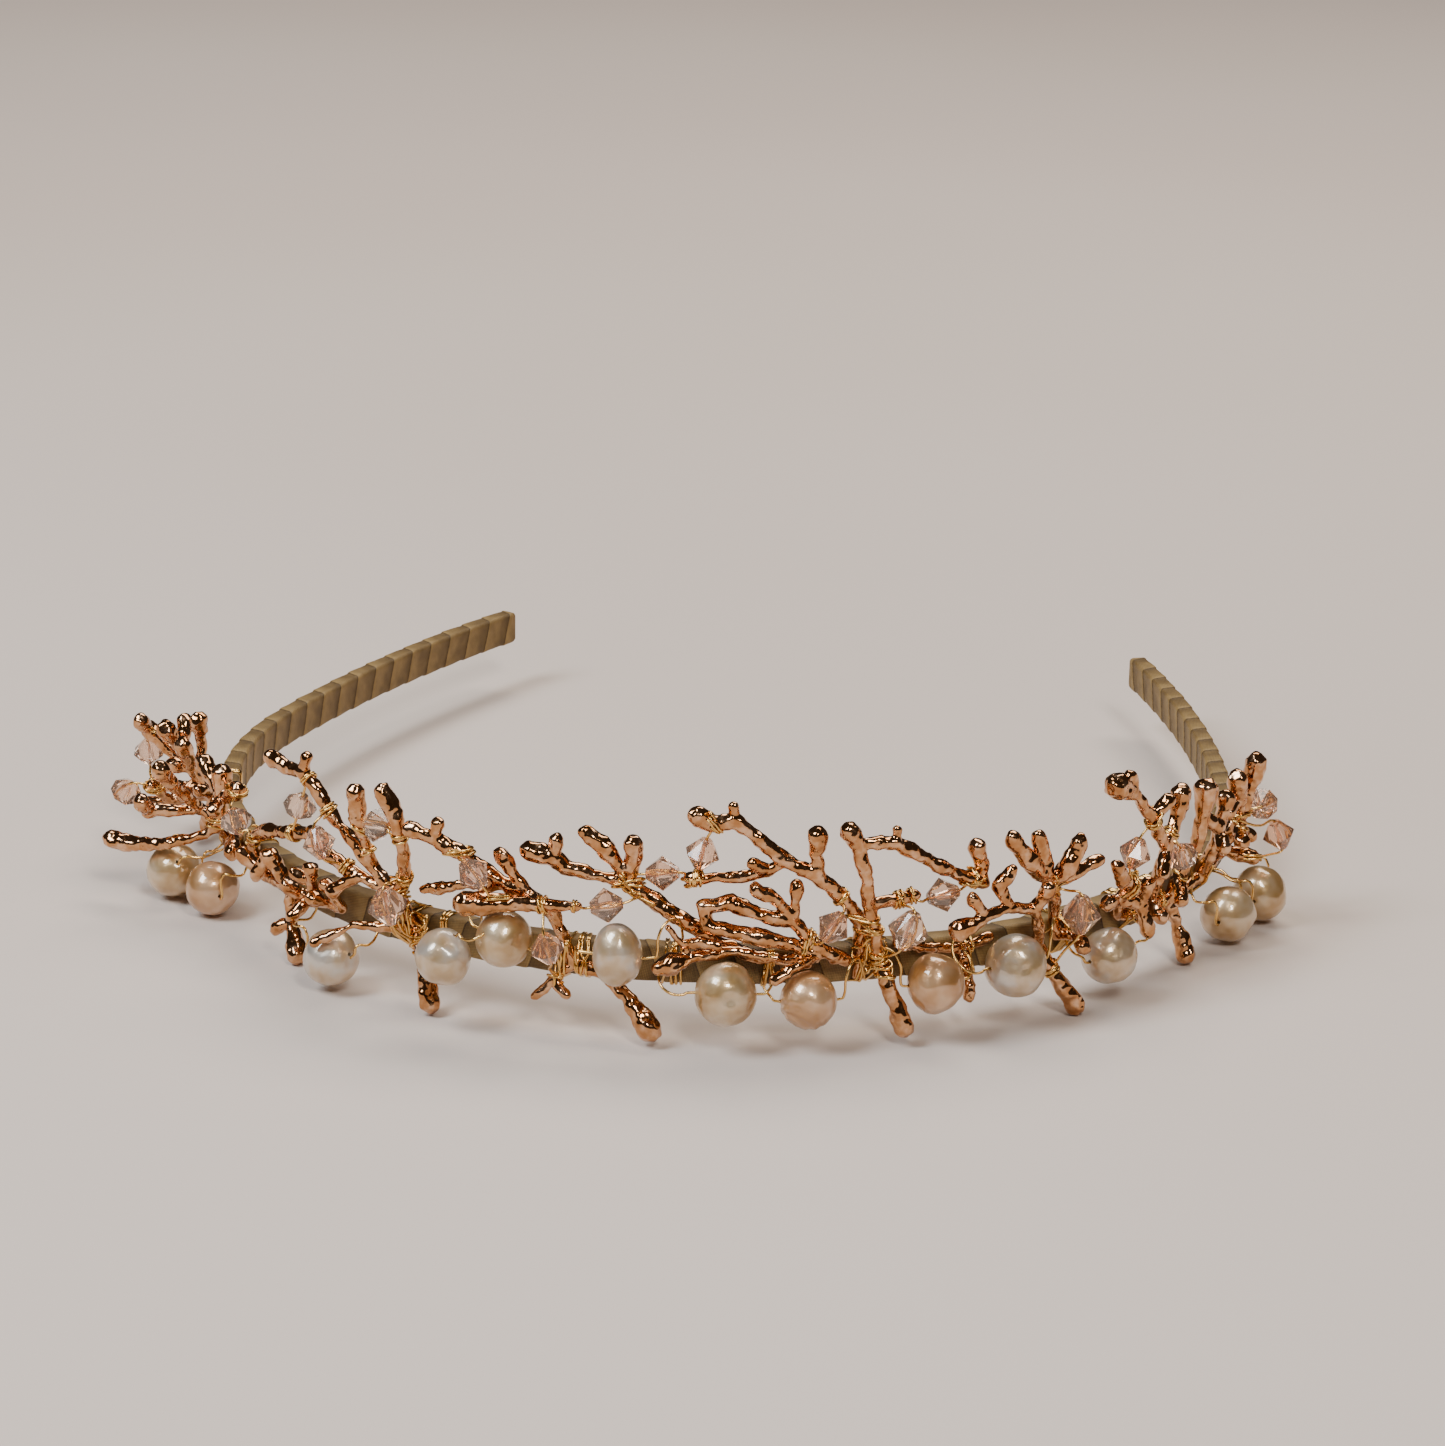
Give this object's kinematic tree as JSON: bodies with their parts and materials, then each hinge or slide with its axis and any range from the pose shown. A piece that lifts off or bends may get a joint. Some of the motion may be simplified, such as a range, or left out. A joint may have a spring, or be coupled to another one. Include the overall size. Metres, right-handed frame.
{
  "type": "bridal tiara",
  "caption": "Sprung headband wrapped in ribbon, its front crowned by cast coral-like twigs with wired pearls and faceted crystal beads.",
  "frame": {"origin": "centre of the crown arc, at half the width of the band", "axes": "+Z across the band's width, towards the raised twigs; -Y towards the front of the crown; +X to the side that is on the right when the front is seen"},
  "size_m": [0.1465, 0.1366, 0.0293],
  "materials": {
    "spring_steel": "rolled",
    "ribbon": "satin weave",
    "rose_gold": "polished rose-gold plate",
    "pearl": "nacre",
    "crystal": "cut and polished",
    "gold_wire": "bright drawn"
  },
  "bodies": {
    "crown": {"strip_crown": "spring_steel", "ribbon_crown": "ribbon", "sprig_left_end": "rose_gold", "sprig_left_side": "rose_gold", "sprig_left_mid": "rose_gold", "sprig_left_high": "rose_gold", "sprig_left_front": "rose_gold", "sprig_centre_left": "rose_gold", "sprig_centre_low": "rose_gold", "sprig_centre_high": "rose_gold", "sprig_right_front": "rose_gold", "sprig_right_under": "rose_gold", "sprig_right_low": "rose_gold", "sprig_right_leaves": "rose_gold", "sprig_right_mid": "rose_gold", "sprig_right_high": "rose_gold", "sprig_right_end": "rose_gold", "crystal_1": "crystal", "crystal_2": "crystal", "crystal_3": "crystal", "crystal_4": "crystal", "crystal_5": "crystal", "crystal_6": "crystal", "crystal_7": "crystal", "crystal_8": "crystal", "crystal_9": "crystal", "crystal_10": "crystal", "crystal_11": "crystal", "crystal_12": "crystal", "crystal_13": "crystal", "crystal_14": "crystal", "crystal_15": "crystal", "crystal_16": "crystal", "crystal_17": "crystal", "crystal_18": "crystal", "crystal_19": "crystal", "crystal_20": "crystal", "bead_wires_left": "gold_wire", "binding_wires_left": "gold_wire", "bead_wires_centre": "gold_wire", "binding_wires_centre": "gold_wire", "bead_wires_right": "gold_wire", "binding_wires_right": "gold_wire"},
    "left_leg": {"strip_left_leg": "spring_steel", "ribbon_left_leg": "ribbon"},
    "right_leg": {"strip_right_leg": "spring_steel", "ribbon_right_leg": "ribbon"},
    "pearl_1_body": {"pearl_1": "pearl"},
    "pearl_2_body": {"pearl_2": "pearl"},
    "pearl_3_body": {"pearl_3": "pearl"},
    "pearl_4_body": {"pearl_4": "pearl"},
    "pearl_5_body": {"pearl_5": "pearl"},
    "pearl_6_body": {"pearl_6": "pearl"},
    "pearl_7_body": {"pearl_7": "pearl"},
    "pearl_8_body": {"pearl_8": "pearl"},
    "pearl_9_body": {"pearl_9": "pearl"},
    "pearl_10_body": {"pearl_10": "pearl"},
    "pearl_11_body": {"pearl_11": "pearl"},
    "pearl_12_body": {"pearl_12": "pearl"},
    "pearl_13_body": {"pearl_13": "pearl"}
  },
  "joints": [
    {"name": "left_leg_flex", "type": "hinge", "parent": "crown", "child": "left_leg", "pos_m": [-0.06162, 0.01102, 0], "axis": [0, 0, 1], "range_deg": [-4, 8], "stiffness_Nm_per_rad": 1},
    {"name": "right_leg_flex", "type": "hinge", "parent": "crown", "child": "right_leg", "pos_m": [0.06162, 0.01102, 0], "axis": [0, 0, -1], "range_deg": [-4, 8], "stiffness_Nm_per_rad": 1},
    {"name": "pearl_1_turn", "type": "hinge", "parent": "crown", "child": "pearl_1_body", "pos_m": [-0.06227, -0.03316, -0.005], "axis": [0.385, -0.723, 0.5736], "continuous": true},
    {"name": "pearl_2_turn", "type": "hinge", "parent": "crown", "child": "pearl_2_body", "pos_m": [-0.05592, -0.0377, -0.0052], "axis": [0.559, -0.8292, 0], "continuous": true},
    {"name": "pearl_3_turn", "type": "hinge", "parent": "crown", "child": "pearl_3_body", "pos_m": [-0.03466, -0.05868, -0.0046], "axis": [0.8091, -0.4779, 0.342], "continuous": true},
    {"name": "pearl_4_turn", "type": "hinge", "parent": "crown", "child": "pearl_4_body", "pos_m": [-0.01884, -0.06767, 0.0002], "axis": [0.4817, -0.1341, 0.866], "continuous": true},
    {"name": "pearl_5_turn", "type": "hinge", "parent": "crown", "child": "pearl_5_body", "pos_m": [-0.01204, -0.06656, 0.0026], "axis": [0.9505, -0.1719, -0.2588], "continuous": true},
    {"name": "pearl_6_turn", "type": "hinge", "parent": "crown", "child": "pearl_6_body", "pos_m": [0.00141, -0.06802, 0.0024], "axis": [0.9998, 0.0208, 0], "continuous": true},
    {"name": "pearl_7_turn", "type": "hinge", "parent": "crown", "child": "pearl_7_body", "pos_m": [0.01356, -0.06646, -0.0017], "axis": [0.9798, 0.1999, 0], "continuous": true},
    {"name": "pearl_8_turn", "type": "hinge", "parent": "crown", "child": "pearl_8_body", "pos_m": [0.02247, -0.0638, -0.0026], "axis": [0.9432, 0.3322, 0], "continuous": true},
    {"name": "pearl_9_turn", "type": "hinge", "parent": "crown", "child": "pearl_9_body", "pos_m": [0.03589, -0.05777, -0.0015], "axis": [0.8494, 0.5277, 0], "continuous": true},
    {"name": "pearl_10_turn", "type": "hinge", "parent": "crown", "child": "pearl_10_body", "pos_m": [0.04421, -0.05152, -0.0008], "axis": [0.7588, 0.6513, 0], "continuous": true},
    {"name": "pearl_11_turn", "type": "hinge", "parent": "crown", "child": "pearl_11_body", "pos_m": [0.05366, -0.04085, -0.0028], "axis": [0.6057, 0.7957, 0], "continuous": true},
    {"name": "pearl_12_turn", "type": "hinge", "parent": "crown", "child": "pearl_12_body", "pos_m": [0.06532, -0.01722, -0.005], "axis": [0.2549, 0.967, 0], "continuous": true},
    {"name": "pearl_13_turn", "type": "hinge", "parent": "crown", "child": "pearl_13_body", "pos_m": [0.0684, -0.00871, -0.005], "axis": [0.1264, 0.992, 0], "continuous": true}
  ]
}
